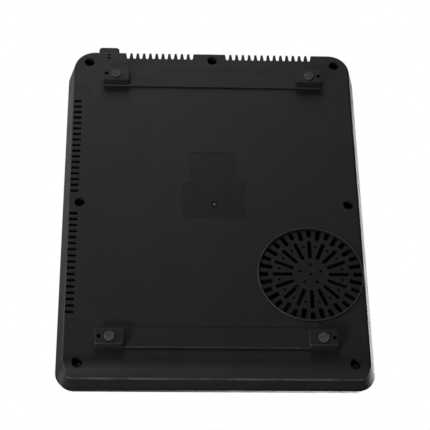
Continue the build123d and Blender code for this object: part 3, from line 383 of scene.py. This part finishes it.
def underside_marks(s, tone):
    """Tone of the underside's patches: label recess, fan disc and gate mark. Also returns where the
    label is."""
    label = s.either([
        s.inside(
            (-half_width * MM, CASE_CENTRE_Y + front * MM), (half_width * MM, CASE_CENTRE_Y + rear * MM)
        )
        for half_width, front, rear in LABEL_STEPS
    ])
    tone = s.blend(label, tone, (0.0112, 0.0114, 0.0082))
    fan_disc = s.disc(FAN_CENTRE, FAN_DISC_RADIUS * MM, 0.3 * MM)
    tone = s.blend(s.math("MULTIPLY", fan_disc, 0.55), tone, (0.0060, 0.0060, 0.0060))
    gate = s.disc((0.0, CASE_CENTRE_Y + GATE_MARK_Y * MM), 0.9 * MM, 0.6 * MM)
    return s.blend(gate, tone, (0.16, 0.16, 0.155)), label


def painted_edge_highlights(s, tone):
    """Paints highlights on the end of the front roll, the foot strips' front edges and the fan's bead,
    paling them in patches.
    """
    roll_end_y = CASE_CENTRE_Y + ROLL_END_Y * MM
    front = s.spread(s.axis("Y"), 1.0, 0.0, (roll_end_y - 0.2 * MM, roll_end_y + 0.2 * MM))
    roll_end = s.math("MULTIPLY", front, s.near(s.axis("Z"), ROLL_END_Z * MM, 0.8 * MM, 0.5 * MM))
    low = s.spread(s.axis("Z"), 1.0, 0.0, ((STRIP_LOW_Z - 0.2) * MM, (STRIP_LOW_Z + 0.2) * MM))
    strips = s.math("MULTIPLY", low, s.either([
        s.near(s.axis("Y"), CASE_CENTRE_Y + edge * MM, 0.2 * MM, 0.3 * MM) for edge in STRIP_FRONT_EDGES
    ]))
    bead = s.near(s.distance(FAN_CENTRE), FAN_BEAD_RADIUS * MM, 0.25 * MM, 0.3 * MM)
    patchy = s.spread(s.noise(0.014, 4.0), 0.35, 1.0, (0.38, 0.58))
    # Painted highlight: the masked edges are paled in patches, brightest at the end of the front roll
    highlight_share = s.math("MULTIPLY", s.either([roll_end, strips, bead]), patchy)
    highlight_tone = s.blend(roll_end, (0.060, 0.061, 0.059), (0.105, 0.107, 0.104))
    return s.blend(highlight_share, tone, highlight_tone)


def casing_plastic():
    """Matt black moulded shell, smoother in the label recess, with painted highlights along its edges.
    """
    s = Surface("casing_plastic", ior=1.49)
    tone = s.ramp(s.noise(0.05, 5.0), (0.0155, 0.0158, 0.0150), (0.0200, 0.0203, 0.0193))
    tone, label = underside_marks(s, tone)
    # Painted highlights on the roll's end, the strips' front edges and the fan's bead
    s.colour(painted_edge_highlights(s, tone))
    uneven = s.spread(s.noise(0.012, 3.0), 0.46, 0.56)
    s.rough(s.math("SUBTRACT", uneven, s.math("MULTIPLY", label, 0.09)))
    s.bump(s.noise(0.0005, 2.0), 0.000018)
    s.bump(s.noise(0.006, 2.0), 0.00001)
    return s


def black_glass():
    """Polished black glass-ceramic with a printed cooking zone of rings and cross lines."""
    s = Surface("black_glass", ior=1.52)
    radius = s.distance(GLASS_CENTRE)
    print_lines = [
        s.near(radius, ring_radius * MM, half_width * MM, 0.2 * MM)
        for ring_radius, half_width in ZONE_RINGS
    ]
    inner, outer = ZONE_CROSS
    rise = s.spread(radius, 0.0, 1.0, (inner * MM, (inner + 0.5) * MM))
    fall = s.spread(radius, 1.0, 0.0, ((outer - 0.5) * MM, outer * MM))
    band = s.math("MULTIPLY", rise, fall)
    for across in s.offset(GLASS_CENTRE):
        line = s.near(across, 0.0, 0.4 * MM, 0.2 * MM)
        print_lines.append(s.math("MULTIPLY", line, band))
    print_lines.append(s.border(GLASS_CENTRE.y, GLASS_FRAME, GLASS_FRAME_LINE, 0.2 * MM))
    top = GLASS_HIGH.z
    on_top = s.spread(s.axis("Z"), 0.0, 1.0, (top - 0.6 * MM, top - 0.2 * MM))
    printed = s.math("MULTIPLY", s.either(print_lines), on_top)
    speck = s.ramp(s.noise(0.0012, 2.0), (0.0055, 0.0055, 0.006), (0.009, 0.009, 0.0095))
    s.colour(s.blend(printed, speck, (0.30, 0.30, 0.31)))
    wear = s.spread(s.noise(0.035, 5.0), 0.04, 0.09)
    s.rough(s.math("ADD", wear, s.math("MULTIPLY", printed, 0.3)))
    s.bump(s.noise(0.04, 1.0), 0.00002)
    return s


def overlay_film():
    """Smooth black film, with a thin pale frame line and one that sets the power key apart."""
    s = moulded_plastic(
        "overlay_film", (0.007, 0.007, 0.008), (0.010, 0.010, 0.011), (0.185, 0.215), 0.0003, 0.000004
    )
    middle = PANEL_CENTRE.y
    frame_line = s.border(middle, PANEL_FRAME, PANEL_FRAME_LINE, 0.05 * MM)
    divider = s.inside(
        (DIVIDER_X * MM, middle - DIVIDER_REACH * MM),
        ((DIVIDER_X + PANEL_FRAME_LINE) * MM, middle + DIVIDER_REACH * MM),
        0.05 * MM,
    )
    s.colour(s.blend(s.either([frame_line, divider]), s.base_colour(), (0.24, 0.24, 0.25)))
    return s


def window_acrylic():
    """Clear dark red window over the display."""
    s = Surface("window_acrylic", ior=1.49)
    s.shader.inputs["Transmission Weight"].default_value = 0.85
    s.colour(s.ramp(s.noise(0.02), (0.38, 0.13, 0.11), (0.44, 0.16, 0.13)))
    s.rough(s.spread(s.noise(0.006), 0.03, 0.08))
    return s


def rubber(name, dark, light):
    """Dull rubber with a finely uneven surface."""
    s = Surface(name, ior=1.45)
    s.colour(s.ramp(s.noise(0.003, 5.0), dark, light))
    s.rough(s.spread(s.noise(0.002), 0.65, 0.85))
    s.bump(s.noise(0.0004, 3.0), 0.00004)
    return s


def foot_rubber():
    """Grey-black foot pad, scuffed paler on the face that slides about."""
    s = rubber("foot_rubber", (0.050, 0.050, 0.047), (0.075, 0.075, 0.071))
    scuffs = s.noise(0.0011, 4.0, (2.5, 1.0, 1.0))
    low = s.spread(s.axis("Z"), 1.0, 0.0, (0.1 * MM, 0.7 * MM))
    share = s.math("MULTIPLY", low, s.spread(scuffs, 0.0, 0.7, (0.45, 0.62)))
    s.colour(s.blend(share, s.base_colour(), (0.20, 0.20, 0.19)))
    return s


def woven(name, dark, light):
    """Stranded copper or woven sleeve: fine cross lay."""
    s = Surface(name, roughness=0.45)
    lay = s.noise(0.0007, 2.0, (1.0, 3.0, 1.0))
    s.colour(s.ramp(lay, dark, light))
    s.bump(lay, 0.0001)
    return s


def circuit_board():
    """Green solder resist over copper tracks."""
    s = Surface("circuit_board")
    tracks = s.spread(s.noise(0.006, 1.0, (2.0, 1.0, 1.0)), 0.0, 1.0, (0.49, 0.51))
    s.colour(s.blend(tracks, (0.012, 0.07, 0.022), (0.025, 0.13, 0.04)))
    s.rough(s.spread(s.noise(0.004), 0.25, 0.4))
    s.bump(tracks, 0.00005)
    return s


# Slots of moulded plastic: name, dark and light tone and, where it differs, roughness, grain and depth
PLASTICS = (
    ("key_plastic", (0.30, 0.31, 0.32), (0.36, 0.37, 0.38), (0.28, 0.38), 0.0003, 0.00001),
    ("switch_plunger", (0.45, 0.05, 0.04), (0.6, 0.08, 0.06)),
    ("switch_body", (0.03, 0.03, 0.03), (0.05, 0.05, 0.05)),
    ("display_body", (0.015, 0.015, 0.015), (0.03, 0.03, 0.03)),
    ("lamp_epoxy", (0.45, 0.03, 0.02), (0.55, 0.05, 0.03), (0.1, 0.2)),
    ("component_black", (0.015, 0.015, 0.015), (0.03, 0.03, 0.03)),
    ("former_plastic", (0.42, 0.39, 0.32), (0.52, 0.49, 0.41)),
    ("mica", (0.40, 0.35, 0.26), (0.58, 0.53, 0.43), (0.45, 0.6), 0.003),
    ("ferrite", (0.03, 0.03, 0.033), (0.06, 0.06, 0.062), (0.45, 0.6), 0.0003),
    ("capacitor_yellow", (0.60, 0.38, 0.04), (0.72, 0.50, 0.07)),
    ("capacitor_blue", (0.02, 0.08, 0.28), (0.04, 0.12, 0.38)),
    ("capacitor_sleeve", (0.01, 0.02, 0.05), (0.02, 0.04, 0.08)),
    ("transformer_core", (0.20, 0.14, 0.03), (0.30, 0.22, 0.06)),
    ("fuse_glass", (0.55, 0.56, 0.55), (0.65, 0.66, 0.65), (0.08, 0.15)),
    ("ribbon_grey", (0.32, 0.32, 0.33), (0.42, 0.42, 0.43)),
    ("fan_plastic", (0.012, 0.012, 0.012), (0.020, 0.020, 0.020), (0.3, 0.42)),
)


def slot_finishes():
    """The finish of each material slot in the record."""
    finishes = {
        "casing": casing_plastic(),
        "housing": moulded_plastic(
            "housing_plastic", (0.0145, 0.0150, 0.0140), (0.0185, 0.0190, 0.0175), (0.38, 0.48)
        ),
        "foot_rubber": foot_rubber(),
        "bushing_rubber": rubber("bushing_rubber", (0.014, 0.014, 0.014), (0.024, 0.024, 0.023)),
        "silicone": rubber("silicone", (0.10, 0.10, 0.10), (0.15, 0.15, 0.15)),
        "black_glass": black_glass(),
        "overlay_film": overlay_film(),
        "tinted_window": window_acrylic(),
        "circuit_board": circuit_board(),
        "copper_litz": woven("copper_litz", (0.30, 0.10, 0.04), (0.62, 0.28, 0.13)),
        "wire_sleeve": woven("wire_sleeve", (0.45, 0.45, 0.40), (0.75, 0.75, 0.70)),
        "screw_steel": metal(
            "screw_steel", (0.20, 0.20, 0.20), (0.42, 0.42, 0.41), (0.22, 0.4), size=0.0012
        ),
        "aluminium": metal(
            "aluminium", (0.55, 0.55, 0.57), (0.75, 0.75, 0.77), stretch=(30.0, 1.0, 1.0), size=0.0008
        ),
        "terminal_brass": metal("terminal_brass", (0.52, 0.36, 0.14), (0.70, 0.52, 0.26)),
        "bearing_bronze": metal("bearing_bronze", (0.36, 0.20, 0.08), (0.52, 0.33, 0.16)),
    }
    for plastic in PLASTICS:
        finishes[plastic[0]] = moulded_plastic(*plastic)
    return finishes


def paint_nodes():
    """Gives every CAD node the finish of its slot."""
    finishes = slot_finishes()
    for part in frame["record"]["subparts"]:
        node = frame["nodes"][part["node"]]
        material = finishes[part["material_slot"]].material
        if not node.material_slots:
            node.data.materials.append(material)
        for holder in node.material_slots:
            holder.material = material


# ---------------------------------------------------------------- printing on the panel
def on_panel(across, along, height):
    """Point on the control panel, from its centre, in millimetres across and along it."""
    slope = Vector((0.0, math.cos(PANEL_TILT), math.sin(PANEL_TILT)))
    normal = Vector((0.0, -math.sin(PANEL_TILT), math.cos(PANEL_TILT)))
    return PANEL_CENTRE + Vector((across * MM, 0.0, 0.0)) + slope * (along * MM) + normal * height


def arc(centre, radius, start, end, steps):
    """Points of a circular arc, in degrees anticlockwise from the right."""
    angles = [math.radians(start + (end - start) * i / steps) for i in range(steps + 1)]
    return [(centre[0] + radius * math.cos(a), centre[1] + radius * math.sin(a)) for a in angles]


def heading(start, end):
    """Unit vector from start to end, or None where they are one point."""
    length = math.dist(start, end)
    return ((end[0] - start[0]) / length, (end[1] - start[1]) / length) if length else None


def stroke_sides(points, width, closed):
    """Left and right edges of a line of that width, mitred at its corners."""
    last = len(points) - 1
    sides = []
    for i, (x, y) in enumerate(points):
        before = points[i - 1] if closed or i > 0 else (x, y)
        after = points[(i + 1) % len(points)] if closed or i < last else (x, y)
        ways = [way for way in (heading(before, (x, y)), heading((x, y), after)) if way]
        (ux, uy), (vx, vy) = ways[0], ways[-1]
        mitre = width / 2 / (1 + ux * vx + uy * vy)
        step_x, step_y = -(uy + vy) * mitre, (ux + vx) * mitre
        sides.append(((x + step_x, y + step_y), (x - step_x, y - step_y)))
    return sides


def print_strokes(name, strokes, spot, height, finish, body):
    """Raised print on the panel: each stroke is its points, its width and whether it is closed."""
    vertices, faces = [], []
    for points, width, closed in strokes:
        first = len(vertices)
        for left, right in stroke_sides(points, width, closed):
            for (x, y), lift in ((left, -1), (left, 1), (right, 1), (right, -1)):
                vertices.append(on_panel(spot[0] + x, spot[1] + y, height + lift * PRINT_THICKNESS))
        count = len(points)
        for i in range(count if closed else count - 1):
            here, there = first + 4 * i, first + 4 * ((i + 1) % count)
            for side in range(4):
                ahead = (side + 1) % 4
                faces.append((here + side, there + side, there + ahead, here + ahead))
        if not closed:
            end = first + 4 * (count - 1)
            faces.append((first, first + 1, first + 2, first + 3))
            faces.append((end + 3, end + 2, end + 1, end))
    mesh = bpy.data.meshes.new(name)
    mesh.from_pydata(vertices, [], faces)
    mesh.materials.append(finish.material)
    piece = bpy.data.objects.new(name, mesh)
    bpy.context.scene.collection.objects.link(piece)
    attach(piece, body)


def key_marks():
    """A plain mark on each key: bars, clock, padlock, minus, plus and the on/off sign."""
    fine, bold, bar_width = 0.7, 0.9, 1.3
    bar_tops = ((-3.0, -0.8), (0.0, 0.9), (3.0, 2.6))
    clock_face = arc((0.0, 0.0), 3.0, 0, 345, 23)
    clock_hands = [(0.0, 1.9), (0.0, 0.0), (1.5, 0.0)]
    shackle = [(-1.4, -0.1), *arc((0.0, 1.0), 1.4, 180, 0, 12), (1.4, -0.1)]
    minus = [([(-2.8, 0.0), (2.8, 0.0)], bold, False)]
    return {
        "mode": [([(x, -2.6), (x, top)], bar_width, False) for x, top in bar_tops],
        "timer": [(clock_face, fine, True), (clock_hands, fine, False)],
        "lock": [([(-2.2, -1.5), (2.2, -1.5)], 2.8, False), (shackle, fine, False)],
        "minus": minus,
        "plus": minus + [([(0.0, sign * 0.45), (0.0, sign * 2.8)], bold, False) for sign in (1, -1)],
        "power": [
            (arc((0.0, 0.0), 3.8, 125, 415, 32), bold, False),
            ([(0.0, 0.8), (0.0, 4.6)], bold, False),
        ],
    }


def display_digits():
    """The unlit segments of four digits."""
    reach, half_height, gap, width = 2.4, 3.6, 0.5, 0.9
    strokes = []
    for middle in (-18.0, -8.0, 8.0, 18.0):
        for y in (-half_height, 0.0, half_height):
            ends = [(middle - reach + gap, y), (middle + reach - gap, y)]
            strokes.append((ends, width, False))
        for x in (middle - reach, middle + reach):
            for low, high in ((-half_height, 0.0), (0.0, half_height)):
                strokes.append(([(x, low + gap), (x, high - gap)], width, False))
    return strokes


def print_panel():
    """The marks on the keys and the segments under the display window."""
    ink = moulded_plastic("key_ink", (0.015, 0.016, 0.018), (0.030, 0.031, 0.034), (0.35, 0.5), 0.0004)
    for key, strokes in key_marks().items():
        print_strokes(f"{key}_mark", strokes, KEY_SPOTS[key], KEY_RISE, ink, f"{key}_button")
    segment = moulded_plastic("segment_grey", (0.72, 0.66, 0.62), (0.82, 0.76, 0.72), (0.4, 0.5), 0.0004)
    print_strokes("display_segments", display_digits(), DISPLAY_SPOT, DISPLAY_DROP, segment, "casing")


# ---------------------------------------------------------------- finish
make_camera()
make_lights()
make_world()
make_floor()
paint_nodes()
print_panel()
